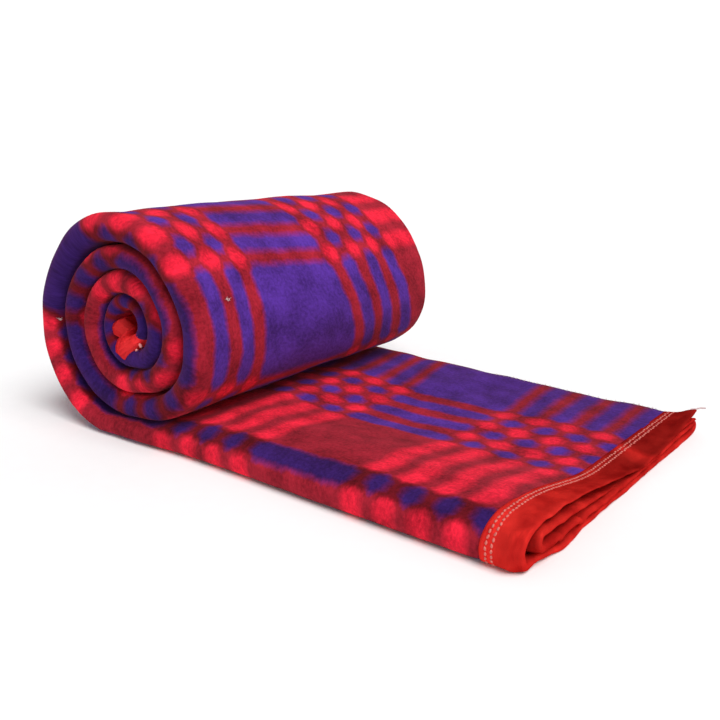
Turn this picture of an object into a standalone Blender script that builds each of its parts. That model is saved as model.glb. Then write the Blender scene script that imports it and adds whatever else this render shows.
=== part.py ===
"""A plaid blanket, folded in four lengthwise and rolled up, with one satin-bound end left lying flat.

Frame: +X runs along the flat end away from the roll, +Y runs along the roll's axis from the round
folds at its near end to the open edges at its far end, +Z is up, and the blanket rests on z = 0.
The folded cloth is a strip. Each station along the strip is a plane that holds one section of the
four layers, and the solids are swept through those sections.
"""
import math

import bmesh
import bpy

MM = 0.001

# Driving dimensions, in millimetres
STRIP_WIDTH = 388.0      # the cloth is about 1.5 m wide and lies folded in four
LAYER = 3.2              # one layer of raised cloth
BOUND_LAYER = 1.8        # the same cloth pressed flat inside its tape
TAPE = 0.55              # satin tape, with its turned-in edge
FIT_GAP = 0.3            # between the cloth and the tape that wraps it
EMPTY_TAPE = 1.7         # two thicknesses of tape past the cloth's cut edge
BOUND_HALF = 0.5 * BOUND_LAYER + FIT_GAP + TAPE
AXIS_HEIGHT = 115.0      # the roll's centre above the surface
FAR_TAPER = 0.028        # how much smaller the roll is at its far end
END_SLANT = 0.03         # the flat end leans out towards its far corner, mm per mm
CORE_GAP = 0.004         # the fit gap past the inner cut edge, as a share of a turn
FLOOR_TURN = 0.1         # how far round the strip is still pressed on the surface
FLOOR_PRESS = 0.7        # how much flatter its far side lies there

# The folds in a section, in mm from the near end of the strip
FOLD_REACH = (12.0, 32.0)       # how far in the large near fold's round starts: in the roll, on the flat
FOLD_HEEL = 11.0                # the same along the bottom layer
FOLD_WAIST = 0.42               # height of that fold's foremost line, as a share of its crown's
INNER_NOSE = 17.0               # front of the small fold nested in it
INNER_NOSE_SHARE = 0.2          # how much of the large fold's reach is added to that
CREST_ACROSS = (44.0, 194.0)    # the puffed near fold falls to mid width between these
RISE_ACROSS = (200.0, 360.0)    # mid width changes to the far edge between these
TOP_SELVEDGE = STRIP_WIDTH - 2.0
INNER_SELVEDGE = STRIP_WIDTH - 7.0

# Where the flat end changes from the roll's shape to its own, in mm from the roll's centre
SHIFT_ALONG = (0.0, 110.0)
FLAT_SHIFT = (-11.0, -4.0)
PUFF_ALONG = (0.0, 95.0)
TAPER_ALONG = (0.0, 60.0)
SLANT_ALONG = (150.0, 400.0)

# The frame's origin, the bottom centre of the whole blanket's box
ORIGIN_ALONG = 168.35    # from the roll's centre, along the flat end
ORIGIN_ACROSS = 190.3    # from the near end of the strip

# The strip in the roll, a row for each section: turns wound since the strip left the surface, the
# outer face's distance from the roll's centre, the strip's thickness, the shift of its near folds
# along the roll, all in mm but the turns.
ROLL_COLUMNS = ("turn", "outer", "thick", "shift")
ROLL_ROWS = (
    (0.00, 115.0, 21.0, -11.0),
    (0.04, 118.7, 21.0, -13.0),
    (0.09, 121.5, 23.5, -13.0),
    (0.17, 126.3, 27.0, -11.0),
    (0.25, 121.5, 28.8, -9.0),
    (0.33, 112.5, 28.5, -9.0),
    (0.41, 110.0, 28.0, -8.0),
    (0.50, 111.5, 27.5, -7.0),
    (0.60, 111.3, 26.5, -6.0),
    (0.68, 114.0, 27.0, -5.0),
    (0.75, 118.0, 29.0, -4.0),
    (0.82, 116.5, 29.5, -3.0),
    (0.88, 107.0, 26.5, -3.0),
    (0.94, 96.5, 24.0, -4.0),
    (1.00, 93.5, 23.8, -5.0),
    (1.13, 91.0, 24.5, -6.0),
    (1.25, 87.0, 25.3, -5.0),
    (1.33, 81.0, 24.2, -4.0),
    (1.41, 79.5, 23.5, -4.0),
    (1.50, 81.0, 23.2, -4.0),
    (1.75, 84.0, 25.5, -3.0),
    (1.88, 77.5, 25.0, -3.0),
    (1.94, 71.5, 24.5, -2.0),
    (2.00, 69.0, 24.3, -2.0),
    (2.13, 65.5, 25.5, -2.0),
    (2.25, 60.8, 26.5, -1.0),
    (2.33, 56.2, 24.0, -1.0),
    (2.41, 55.2, 23.5, 0.0),
    (2.50, 56.5, 24.0, 0.0),
    (2.75, 57.5, 23.5, 0.0),
    (2.88, 52.0, 22.0, 1.0),
    (2.94, 46.2, 20.3, 1.0),
    (3.00, 43.4, 19.2, 2.0),
    (3.25, 33.0, 18.0, 3.0),
    (3.33, 31.2, 17.4, 4.0),
    (3.50, 31.0, 16.6, 5.0),
    (3.70, 32.3, 16.6, 5.0),
    (3.80, 30.4, 16.4, 5.0),
    (3.90, 27.2, 16.2, 4.0),
    (4.00, 23.2, 15.9, 3.0),
    (4.06, 19.5, 15.6, 3.0),
)

# The flat end, a row for each section: distance from the roll's centre, and the height of the top
# layer's face at the puffed near fold, at mid width and at the far edge, in mm.
FLAT_COLUMNS = ("along", "near", "middle", "far")
FLAT_ROWS = (
    (0.0, 21.0, 21.0, 20.3),
    (35.0, 23.5, 22.5, 21.0),
    (60.0, 28.0, 25.0, 21.0),
    (95.0, 33.0, 26.0, 20.0),
    (130.0, 33.5, 21.5, 18.0),
    (170.0, 32.5, 17.5, 17.2),
    (290.0, 37.0, 15.6, 16.8),
    (350.0, 36.0, 15.4, 16.4),
    (404.0, 36.5, 15.6, 16.0),
    (425.0, 38.0, 17.0, 19.0),
    (446.0, 40.0, 20.0, 26.0),
)

# Places across the strip where the top layer and the layers under it have a point, in mm
TOP_ACROSS = (44.0, 90.0, 140.0, 200.0, 366.0)
UNDER_ACROSS = (44.0, 120.0, 200.0)
FOLD_STEPS = 3           # segments in each quarter of the large near fold
SMALL_FOLD_STEPS = 3     # segments round each small fold

# Sections, from the flat end's cut edge to the roll: in mm along the flat end, and in turns
FLAT_SECTIONS = (396.0, 350.0, 290.0, 230.0, 170.0, 130.0, 95.0, 70.0, 45.0, 20.0, 0.0)
SECTIONS_A_TURN = 20     # in the outer turns; the small inner one has half as many
OUTER_TURNS = 3.0
END_TAPE_SECTIONS = (404.0, 412.0, 420.0)
END_EMPTY_SECTIONS = (427.0, 436.0, 446.0)
CORE_TAPE_SECTIONS = (3.70, 3.75, 3.80)
CORE_EMPTY_SECTIONS = (3.85, 3.90, 3.95, 4.00, 4.06)


def between(columns, rows, name, at):
    """Read one column of a table at a place between its rows, along a smooth curve."""
    column = columns.index(name)
    if at <= rows[0][0]:
        return rows[0][column]
    if at >= rows[-1][0]:
        return rows[-1][column]
    last = len(rows) - 1
    i = 0
    while rows[i + 1][0] < at:
        i += 1
    here, there = rows[i], rows[i + 1]
    before, after = rows[max(i - 1, 0)], rows[min(i + 2, last)]
    span = there[0] - here[0]
    t = (at - here[0]) / span
    slope_here = (there[column] - before[column]) / (there[0] - before[0])
    slope_there = (after[column] - here[column]) / (after[0] - here[0])
    return ((2 * t**3 - 3 * t**2 + 1) * here[column] + (t**3 - 2 * t**2 + t) * span * slope_here
            + (3 * t**2 - 2 * t**3) * there[column] + (t**3 - t**2) * span * slope_there)


def ease(t):
    """A smooth step from 0 to 1."""
    t = min(max(t, 0.0), 1.0)
    return t * t * (3 - 2 * t)


def blend(ends, limits, at):
    """Pass smoothly from one value to another between two places."""
    return ends[0] + (ends[1] - ends[0]) * ease((at - limits[0]) / (limits[1] - limits[0]))


def flat_station(along):
    """A section plane across the flat end."""
    near, middle, far = (between(FLAT_COLUMNS, FLAT_ROWS, name, along) for name in FLAT_COLUMNS[1:])
    return {"foot": (along, 0.0), "up": (0.0, 1.0), "near": near, "middle": middle, "far": far,
            "shift": blend(FLAT_SHIFT, SHIFT_ALONG, along),
            "reach": blend(FOLD_REACH, PUFF_ALONG, along),
            "taper": blend((1.0, 0.0), TAPER_ALONG, along),
            "slant": blend((0.0, END_SLANT), SLANT_ALONG, along)}


def roll_station(turn):
    """A section plane through the roll's axis."""
    angle = math.tau * turn
    outer, thick, shift = (between(ROLL_COLUMNS, ROLL_ROWS, name, turn) for name in ROLL_COLUMNS[1:])
    if turn < FLOOR_TURN:
        outer = min(outer, AXIS_HEIGHT / math.cos(angle))
    return {"foot": (-outer * math.sin(angle), AXIS_HEIGHT - outer * math.cos(angle)),
            "up": (math.sin(angle), math.cos(angle)), "near": thick, "middle": thick,
            "far": thick - blend((FLOOR_PRESS, 0.0), (0.0, FLOOR_TURN), turn),
            "shift": shift, "reach": FOLD_REACH[0], "taper": 1.0, "slant": 0.0}


def top_height(station, across):
    """Height of the top layer's face above the strip's foot."""
    if across < RISE_ACROSS[0]:
        return blend((station["near"], station["middle"]), CREST_ACROSS, across)
    return blend((station["middle"], station["far"]), RISE_ACROSS, across)


def layer_height(station, layer, across, half):
    """Height of a layer's middle: layer 0 lies at the bottom and layer 3 on top."""
    return half + (top_height(station, across) - 2 * half) * layer / 3.0


def cloth_path(station, half):
    """The cloth's middle line in one section, from the top selvedge to the inner one.

    It runs along the top layer to the large near fold, back along the bottom, round the far fold,
    and through the two inner layers, which turn at a small fold nested in the large one.
    """
    path = [(TOP_SELVEDGE, layer_height(station, 3, TOP_SELVEDGE, half))]
    for across in reversed(TOP_ACROSS):
        path.append((across, layer_height(station, 3, across, half)))
    crown = layer_height(station, 3, 0.0, half)
    waist = half + FOLD_WAIST * (crown - half)
    reach = station["reach"]
    for i in range(FOLD_STEPS + 1):
        a = 0.5 * math.pi * i / FOLD_STEPS
        path.append((reach - (reach - half) * math.sin(a), waist + (crown - waist) * math.cos(a)))
    for i in range(1, FOLD_STEPS + 1):
        a = 0.5 * math.pi * i / FOLD_STEPS
        path.append((FOLD_HEEL - (FOLD_HEEL - half) * math.cos(a), waist - (waist - half) * math.sin(a)))
    path.append((UNDER_ACROSS[-1], layer_height(station, 0, 0.0, half)))
    path += small_fold(station, half, (0, 1), STRIP_WIDTH - half, -1)
    for across in reversed(UNDER_ACROSS):
        path.append((across, layer_height(station, 1, across, half)))
    path += small_fold(station, half, (1, 2), INNER_NOSE + INNER_NOSE_SHARE * reach, 1)
    for across in UNDER_ACROSS:
        path.append((across, layer_height(station, 2, across, half)))
    path.append((INNER_SELVEDGE, layer_height(station, 2, INNER_SELVEDGE, half)))
    return path


def small_fold(station, half, layers, nose, side):
    """Points round the fold that joins two layers; nose is how far across the strip it reaches."""
    start = layer_height(station, layers[0], nose, half)
    stop = layer_height(station, layers[1], nose, half)
    middle = 0.5 * (start + stop)
    radius = 0.5 * (stop - start)
    points = []
    for i in range(SMALL_FOLD_STEPS + 1):
        a = math.pi * i / SMALL_FOLD_STEPS
        points.append((nose + side * radius * (1 - math.sin(a)), middle - radius * math.cos(a)))
    return points


def outline(path, half, ends=0.0):
    """Both faces of a layer of the given half thickness along a path, as a closed ring."""
    left, right = [], []
    last = len(path) - 1
    for i, (y, z) in enumerate(path):
        y0, z0 = path[max(i - 1, 0)]
        y1, z1 = path[min(i + 1, last)]
        before = math.atan2(z - z0, y - y0) if i > 0 else math.atan2(z1 - z, y1 - y)
        after = math.atan2(z1 - z, y1 - y) if i < last else before
        turn = math.remainder(after - before, math.tau)
        heading = before + 0.5 * turn
        reach = half / max(math.cos(0.5 * turn), 0.7)
        along = -ends if i == 0 else (ends if i == last else 0.0)
        y += along * math.cos(heading)
        z += along * math.sin(heading)
        left.append((y - reach * math.sin(heading), z + reach * math.cos(heading)))
        right.append((y + reach * math.sin(heading), z - reach * math.cos(heading)))
    return left + right[::-1]


def place(station, ring):
    """Put a section's ring in space, in metres from the frame's origin."""
    points = []
    for across, height in ring:
        scale = 1.0 - FAR_TAPER * station["taper"] * across / STRIP_WIDTH
        x = (station["foot"][0] + station["up"][0] * height) * scale + station["slant"] * across
        y = across + station["shift"]
        z = max((station["foot"][1] + station["up"][1] * height) * scale, 0.0)
        points.append(((x - ORIGIN_ALONG) * MM, (y - ORIGIN_ACROSS) * MM, z * MM))
    return points


def add_ring(bm, station, half_inside, half, ends=0.0):
    """One ring of vertices; half_inside spaces the layers and half gives the drawn thickness."""
    ring = outline(cloth_path(station, half_inside), half, ends)
    return [bm.verts.new(point) for point in place(station, ring)]


def bridge(bm, one, two):
    """Side faces between two rings."""
    count = len(one)
    for i in range(count):
        j = (i + 1) % count
        bm.faces.new((one[i], one[j], two[j], two[i]))


def cap(bm, ring):
    """Close a ring's end with a face for each step of the path."""
    count = len(ring)
    for i in range(count // 2 - 1):
        bm.faces.new((ring[i], ring[i + 1], ring[count - 2 - i], ring[count - 1 - i]))


def finish(bm, name, material):
    """Make the mesh an object with its own material."""
    bmesh.ops.recalc_face_normals(bm, faces=bm.faces)
    mesh = bpy.data.meshes.new(name)
    bm.to_mesh(mesh)
    bm.free()
    mesh.materials.append(material)
    mesh.shade_smooth()
    mesh.set_sharp_from_angle(angle=math.radians(50))
    piece = bpy.data.objects.new(name, mesh)
    bpy.context.scene.collection.objects.link(piece)
    return piece


def make_material(name, colour, roughness):
    """A plain Principled material."""
    material = bpy.data.materials.new(name)
    material.use_nodes = True
    shader = material.node_tree.nodes["Principled BSDF"]
    shader.inputs["Base Color"].default_value = (*colour, 1.0)
    shader.inputs["Roughness"].default_value = roughness
    shader.inputs["Metallic"].default_value = 0.0
    return material


def roll_turns(stop):
    """Turns at which the roll's sections stand, at the same angles in every turn."""
    turns = []
    count = 1
    while count / SECTIONS_A_TURN < stop:
        turns.append(count / SECTIONS_A_TURN)
        count += 1 if turns[-1] < OUTER_TURNS else 2
    return turns


def make_cloth(material):
    """The folded cloth, from its cut edge in the end tape to its cut edge in the core tape."""
    bm = bmesh.new()
    rings = []
    for along in reversed(END_TAPE_SECTIONS):
        rings.append(add_ring(bm, flat_station(along), BOUND_HALF, 0.5 * BOUND_LAYER))
    for along in FLAT_SECTIONS:
        rings.append(add_ring(bm, flat_station(along), 0.5 * LAYER, 0.5 * LAYER))
    for turn in roll_turns(CORE_TAPE_SECTIONS[0] - 0.5 / SECTIONS_A_TURN):
        rings.append(add_ring(bm, roll_station(turn), 0.5 * LAYER, 0.5 * LAYER))
    for turn in CORE_TAPE_SECTIONS:
        rings.append(add_ring(bm, roll_station(turn), BOUND_HALF, 0.5 * BOUND_LAYER))
    for one, two in zip(rings, rings[1:]):
        bridge(bm, one, two)
    cap(bm, rings[0])
    cap(bm, rings[-1])
    return finish(bm, "blanket_cloth", material)


def make_binding(name, material, wrapping, empty):
    """A tape sleeve round the cloth's cut edge.

    It wraps the cloth over its wrapping sections, the last of them just past the cut edge, and is
    folded shut at the last of its empty sections.
    """
    ends = FIT_GAP + TAPE
    bm = bmesh.new()
    skins = [add_ring(bm, station, BOUND_HALF, BOUND_HALF, ends) for station in wrapping]
    skins += [add_ring(bm, station, BOUND_HALF, 0.5 * EMPTY_TAPE, ends) for station in empty]
    inside = 0.5 * BOUND_LAYER + FIT_GAP
    hollow = [add_ring(bm, station, BOUND_HALF, inside, FIT_GAP) for station in wrapping]
    for one, two in zip(skins, skins[1:]):
        bridge(bm, one, two)
    for one, two in zip(hollow, hollow[1:]):
        bridge(bm, one, two)
    bridge(bm, skins[0], hollow[0])
    cap(bm, hollow[-1])
    cap(bm, skins[-1])
    return finish(bm, name, material)


def past(sections, gap):
    """The same sections with the last one moved on by a gap."""
    return sections[:-1] + (sections[-1] + gap,)


def main():
    """Build the cloth and its two tapes."""
    for old in list(bpy.data.objects):
        bpy.data.objects.remove(old, do_unlink=True)
    plaid = make_material("plaid_wool", (0.28, 0.02, 0.05), 0.95)
    satin = make_material("red_satin", (0.55, 0.02, 0.02), 0.45)
    make_cloth(plaid)
    make_binding("end_binding", satin,
                 [flat_station(along) for along in past(END_TAPE_SECTIONS, FIT_GAP)],
                 [flat_station(along) for along in END_EMPTY_SECTIONS])
    make_binding("core_binding", satin,
                 [roll_station(turn) for turn in past(CORE_TAPE_SECTIONS, CORE_GAP)],
                 [roll_station(turn) for turn in CORE_EMPTY_SECTIONS])


main()
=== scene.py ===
# %% [markdown]
# # A plaid blanket, folded in four and rolled up
#
# The real blanket is one large cloth of brushed pile, woven with a red and blue check. Its two cut ends
# are wrapped in satin tape, held by two rows of stitches. Somebody folded it in half and in half again,
# then rolled it up from one bound end, and left the other end lying flat.
#
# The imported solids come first. They are a fixed frame: each piece made here stands where its solid
# stands, at the same size, and only looks better.

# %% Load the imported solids
import math

import bmesh
import bpy
import numpy as np
from mathutils import Matrix, Vector


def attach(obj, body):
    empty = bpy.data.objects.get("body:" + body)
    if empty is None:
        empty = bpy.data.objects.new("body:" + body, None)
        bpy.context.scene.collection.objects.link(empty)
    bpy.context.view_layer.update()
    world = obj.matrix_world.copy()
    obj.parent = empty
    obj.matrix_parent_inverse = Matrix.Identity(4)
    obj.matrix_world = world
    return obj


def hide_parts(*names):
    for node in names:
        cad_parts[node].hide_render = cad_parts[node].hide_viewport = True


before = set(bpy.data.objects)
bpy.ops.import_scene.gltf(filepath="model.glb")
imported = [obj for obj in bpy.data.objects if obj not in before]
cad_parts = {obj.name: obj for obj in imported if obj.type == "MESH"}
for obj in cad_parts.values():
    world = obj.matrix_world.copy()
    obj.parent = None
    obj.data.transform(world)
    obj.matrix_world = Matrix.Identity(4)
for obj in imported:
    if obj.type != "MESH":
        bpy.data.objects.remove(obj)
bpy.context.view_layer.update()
print("packed nodes:", sorted(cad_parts))

# %% [markdown]
# ## The camera
#
# The photograph was taken from a little above the blanket, in front of the flat end, with a short
# telephoto lens. The camera could be set by eye, but a blanket has straight folds and evenly spaced
# stripes, so its place was worked out from those instead. It comes first, because every later step is
# judged through it.

# %% Camera
CAMERA_PLACE = (0.5088, -0.7068, 0.3294)
CAMERA_LENS = 43.0
CAMERA_SENSOR = 36.0
CAMERA_YAW, CAMERA_PITCH, CAMERA_ROLL = (math.radians(a) for a in (36.465, 16.644, 1.003))


def put(name, data):
    """Add a camera, a lamp or a mesh to the scene as an object."""
    made = bpy.data.objects.new(name, data)
    bpy.context.scene.collection.objects.link(made)
    return made


def aim_camera():
    """Make the camera; yaw is measured from +Y, pitch downwards, roll about the view."""
    forward = Vector((-math.sin(CAMERA_YAW) * math.cos(CAMERA_PITCH),
                      math.cos(CAMERA_YAW) * math.cos(CAMERA_PITCH), -math.sin(CAMERA_PITCH)))
    right = Vector((math.cos(CAMERA_YAW), math.sin(CAMERA_YAW), 0.0))
    up = right.cross(forward)
    c, s = math.cos(CAMERA_ROLL), math.sin(CAMERA_ROLL)
    side, top = c * right + s * up, c * up - s * right
    camera = put("camera", bpy.data.cameras.new("camera"))
    camera.data.lens = CAMERA_LENS
    camera.data.sensor_width = CAMERA_SENSOR
    turned = Matrix((side, top, -forward)).transposed().to_4x4()
    camera.matrix_world = Matrix.Translation(CAMERA_PLACE) @ turned
    bpy.context.scene.camera = camera
    return camera


print("camera at", tuple(round(v, 3) for v in aim_camera().matrix_world.translation))

# %% [markdown]
# ## How the cloth lies
#
# The folded cloth is a strip, and the strip is described one section at a time. On the flat end a
# section is an upright plane across the strip, and in the roll it is a plane through the roll's axis.
# Short tables say how thick the strip is at each section and how far out it lies. They are the ones
# that the solids were made from, so the cloth made here fits its solid.
#
# A cloth simulation could roll a blanket up, but it would not give this one's loose turns and puffed
# folds. A table row for each place where the shape changes does.

# %% Sizes of the strip, in mm
MM = 0.001
STRIP_WIDTH = 388.0
LAYER = 3.2
BOUND_HALF = 1.75
AXIS_HEIGHT = 115.0
FAR_TAPER = 0.028
END_SLANT = 0.03
FLOOR_TURN = 0.1
FLOOR_PRESS = 0.7
FOLD_REACH = (12.0, 32.0)
FOLD_HEEL = 11.0
FOLD_WAIST = 0.42
INNER_NOSE = 17.0
INNER_NOSE_SHARE = 0.2
CREST_ACROSS = (44.0, 194.0)
RISE_ACROSS = (200.0, 360.0)
TOP_SELVEDGE = STRIP_WIDTH - 2.0
INNER_SELVEDGE = STRIP_WIDTH - 7.0
SHIFT_ALONG = (0.0, 110.0)
FLAT_SHIFT = (-11.0, -4.0)
PUFF_ALONG = (0.0, 95.0)
TAPER_ALONG = (0.0, 60.0)
SLANT_ALONG = (150.0, 400.0)
ORIGIN_ALONG = 168.35
ORIGIN_ACROSS = 190.3

ROLL_COLUMNS = ("turn", "outer", "thick", "shift")
ROLL_ROWS = np.array((
    (0.00, 115, 21, -11), (0.04, 118.7, 21, -13), (0.09, 121.5, 23.5, -13),
    (0.17, 126.3, 27, -11), (0.25, 121.5, 28.8, -9), (0.33, 112.5, 28.5, -9),
    (0.41, 110, 28, -8), (0.50, 111.5, 27.5, -7), (0.60, 111.3, 26.5, -6),
    (0.68, 114, 27, -5), (0.75, 118, 29, -4), (0.82, 116.5, 29.5, -3),
    (0.88, 107, 26.5, -3), (0.94, 96.5, 24, -4), (1.00, 93.5, 23.8, -5),
    (1.13, 91, 24.5, -6), (1.25, 87, 25.3, -5), (1.33, 81, 24.2, -4),
    (1.41, 79.5, 23.5, -4), (1.50, 81, 23.2, -4), (1.75, 84, 25.5, -3),
    (1.88, 77.5, 25, -3), (1.94, 71.5, 24.5, -2), (2.00, 69, 24.3, -2),
    (2.13, 65.5, 25.5, -2), (2.25, 60.8, 26.5, -1), (2.33, 56.2, 24, -1),
    (2.41, 55.2, 23.5, 0), (2.50, 56.5, 24, 0), (2.75, 57.5, 23.5, 0),
    (2.88, 52, 22, 1), (2.94, 46.2, 20.3, 1), (3.00, 43.4, 19.2, 2),
    (3.25, 33, 18, 3), (3.33, 31.2, 17.4, 4), (3.50, 31, 16.6, 5),
    (3.70, 32.3, 16.6, 5), (3.80, 30.4, 16.4, 5), (3.90, 27.2, 16.2, 4),
    (4.00, 23.2, 15.9, 3), (4.06, 19.5, 15.6, 3),
))
FLAT_COLUMNS = ("along", "near", "middle", "far")
FLAT_ROWS = np.array((
    (0, 21, 21, 20.3), (35, 23.5, 22.5, 21), (60, 28, 25, 21),
    (95, 33, 26, 20), (130, 33.5, 21.5, 18), (170, 32.5, 17.5, 17.2),
    (290, 37, 15.6, 16.8), (350, 36, 15.4, 16.4), (404, 36.5, 15.6, 16),
    (425, 38, 17, 19), (446, 40, 20, 26),
))
print("tables:", len(ROLL_ROWS), "sections in the roll,", len(FLAT_ROWS), "on the flat end")


# %% Read the tables smoothly
def column(columns, rows, name, at):
    """One column of a table, along a smooth curve through its rows."""
    places, values = rows[:, 0], rows[:, columns.index(name)]
    slopes = np.gradient(values)
    slopes[1:-1] = (values[2:] - values[:-2]) / (places[2:] - places[:-2])
    slopes[0] = (values[1] - values[0]) / (places[1] - places[0])
    slopes[-1] = (values[-1] - values[-2]) / (places[-1] - places[-2])
    i = np.clip(np.searchsorted(places, at, side="right") - 1, 0, len(places) - 2)
    span = places[i + 1] - places[i]
    t = np.clip((at - places[i]) / span, 0.0, 1.0)
    return ((2 * t**3 - 3 * t**2 + 1) * values[i] + (t**3 - 2 * t**2 + t) * span * slopes[i]
            + (3 * t**2 - 2 * t**3) * values[i + 1] + (t**3 - t**2) * span * slopes[i + 1])


def ease(t):
    """A smooth step from 0 to 1."""
    t = np.clip(t, 0.0, 1.0)
    return t * t * (3 - 2 * t)


def blend(ends, limits, at):
    """Pass smoothly from one value to another between two places."""
    return ends[0] + (ends[1] - ends[0]) * ease((at - limits[0]) / (limits[1] - limits[0]))


# %% Section planes
def flat_sections(along):
    """Section planes across the flat end. Each value is a column, one row for each section."""
    along = np.asarray(along, float)[:, None]
    near, middle, far = (column(FLAT_COLUMNS, FLAT_ROWS, name, along) for name in FLAT_COLUMNS[1:])
    return {"foot_x": along, "foot_z": 0.0 * along, "up_x": 0.0 * along, "up_z": 1.0 + 0.0 * along,
            "near": near, "middle": middle, "far": far,
            "shift": blend(FLAT_SHIFT, SHIFT_ALONG, along), "reach": blend(FOLD_REACH, PUFF_ALONG, along),
            "taper": blend((1.0, 0.0), TAPER_ALONG, along),
            "slant": blend((0.0, END_SLANT), SLANT_ALONG, along)}


def roll_sections(turn):
    """Section planes through the roll's axis."""
    turn = np.asarray(turn, float)[:, None]
    angle = math.tau * turn
    outer, thick, shift = (column(ROLL_COLUMNS, ROLL_ROWS, name, turn) for name in ROLL_COLUMNS[1:])
    floor = AXIS_HEIGHT / np.cos(math.tau * np.minimum(turn, FLOOR_TURN))
    outer = np.where(turn < FLOOR_TURN, np.minimum(outer, floor), outer)
    return {"foot_x": -outer * np.sin(angle), "foot_z": AXIS_HEIGHT - outer * np.cos(angle),
            "up_x": np.sin(angle), "up_z": np.cos(angle), "near": thick, "middle": thick,
            "far": thick - blend((FLOOR_PRESS, 0.0), (0.0, FLOOR_TURN), turn), "shift": shift,
            "reach": FOLD_REACH[0] + 0.0 * turn, "taper": 1.0 + 0.0 * turn, "slant": 0.0 * turn}


def joined(*sets):
    """Several sets of sections as one."""
    return {key: np.concatenate([s[key] for s in sets]) for key in sets[0]}


# %% [markdown]
# ## The path of the cloth in one section
#
# Cut across, the strip shows four layers joined by three folds. Starting from the open edge on top, the
# cloth runs to the large near fold, back along the bottom, round the far fold, and through two inner
# layers that turn at a small fold nested in the large one. The path is one row of points, close
# together at the folds and wherever the cloth is seen.


# %% Path through the layers
def layer_height(sections, layer, across, half):
    """Height of a layer's middle: layer 0 lies at the bottom and layer 3 on top."""
    crest = blend((sections["near"], sections["middle"]), CREST_ACROSS, across)
    rise = blend((sections["middle"], sections["far"]), RISE_ACROSS, across)
    top = np.where(across < RISE_ACROSS[0], crest, rise)
    return half + (top - 2 * half) * layer / 3.0


def cloth_paths(sections, half, steps):
    """Distance across the strip and height of every point of the path, a row for each section."""
    across, height = [], []
    one = 1.0 + 0.0 * sections["foot_x"]

    def run(layer, start, stop, count, skip=1):
        """Points along a layer from one place to another."""
        for k in range(skip, count + 1):
            y = start + (stop - start) * k / count
            across.append(y * one)
            height.append(layer_height(sections, layer, y * one, half))

    def radius_at(low, high, nose):
        """Radius of the small fold that joins two layers at its nose."""
        return 0.5 * (layer_height(sections, high, nose, half) - layer_height(sections, low, nose, half))

    def turn_back(low, high, nose, side, count):
        """Points round a small fold between two layers."""
        start = layer_height(sections, low, nose, half)
        stop = layer_height(sections, high, nose, half)
        radius = radius_at(low, high, nose)
        for k in range(1, count):
            a = math.pi * k / count
            across.append(nose + side * radius * (1 - math.sin(a)))
            height.append(0.5 * (start + stop) - radius * math.cos(a))

    reach = sections["reach"]
    crown = layer_height(sections, 3, 0.0, half)
    waist = half + FOLD_WAIST * (crown - half)
    run(3, TOP_SELVEDGE * one, reach, steps["top"], skip=0)
    for k in range(1, steps["fold"] + 1):
        a = 0.5 * math.pi * k / steps["fold"]
        across.append(reach - (reach - half) * math.sin(a))
        height.append(waist + (crown - waist) * math.cos(a))
    for k in range(1, steps["fold"] + 1):
        a = 0.5 * math.pi * k / steps["fold"]
        across.append((FOLD_HEEL - (FOLD_HEEL - half) * math.cos(a)) * one)
        height.append(waist - (waist - half) * math.sin(a))
    far_nose = (STRIP_WIDTH - half) * one
    far_radius = radius_at(0, 1, far_nose)
    run(0, FOLD_HEEL * one, far_nose - far_radius, steps["bottom"])
    turn_back(0, 1, far_nose, -1, steps["small"])
    near_nose = INNER_NOSE + INNER_NOSE_SHARE * reach
    near_radius = radius_at(1, 2, near_nose)
    run(1, far_nose - far_radius, near_nose + near_radius, steps["inner"], skip=0)
    turn_back(1, 2, near_nose, 1, steps["small"])
    run(2, near_nose + near_radius, INNER_SELVEDGE * one, steps["inner"], skip=0)
    return np.concatenate(across, axis=1), np.concatenate(height, axis=1)


def outwards(across, height):
    """Unit vectors out of the cloth's right side, in the section's plane."""
    dy, dz = np.gradient(across, axis=1), np.gradient(height, axis=1)
    length = np.maximum(np.hypot(dy, dz), 1e-9)
    return dz / length, -dy / length


def distance(across, height):
    """Distance along the path from the top selvedge, in mm."""
    steps = np.hypot(np.diff(across, axis=1), np.diff(height, axis=1))
    return np.concatenate([np.zeros((len(across), 1)), np.cumsum(steps, axis=1)], axis=1)


def in_space(sections, across, height):
    """Put points of the sections in space, in metres from the frame's origin."""
    scale = 1.0 - FAR_TAPER * sections["taper"] * across / STRIP_WIDTH
    x = (sections["foot_x"] + sections["up_x"] * height) * scale + sections["slant"] * across
    z = (sections["foot_z"] + sections["up_z"] * height) * scale
    y = across + sections["shift"]
    return np.stack([x - ORIGIN_ALONG, y - ORIGIN_ACROSS, z], axis=-1) * MM


# %% [markdown]
# ## Where the threads lie
#
# Each point of the cloth gets two thread coordinates, kept in a UV map: how far along the blanket it
# is, and how far across. The material then draws the stripes from those, and needs no other help to
# turn a corner.
#
# A cloth that is folded and rolled by hand slips and leans a little. The tables hold what can be seen
# of that: where each red stripe crosses the near fold, and how far the stripes lean away from it.

# %% Thread coordinates
# a section's place is one number: minus the mm along the flat end, or TURN for each turn in the roll
TURN = 1000.0
STRIPE_SET = 228.4
STRIPE_PITCH = 33.4
STRIPES_ON_FLAT = ((389, 357, 323.5, 290), (163, 129, 96, 63))
STRIPES_IN_ROLL = (
    (0.093, 0.149, 0.192, 0.235), (0.461, 0.525, 0.585, 0.640), (0.830, 0.887, 0.945, 1.000),
    (1.247, 1.325, 1.410, 1.495), (1.770, 1.845, 1.920, 1.990), (2.380, 2.490, 2.590, 2.695),
    (3.130, 3.300, 3.450, 3.590),
)
# how far the cloth goes on before the first stripe and after the last one: as a place, and in cloth
BEFORE_STRIPES = (-57.0, -57.0)
AFTER_STRIPES = (500.0, 57.0)

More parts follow.
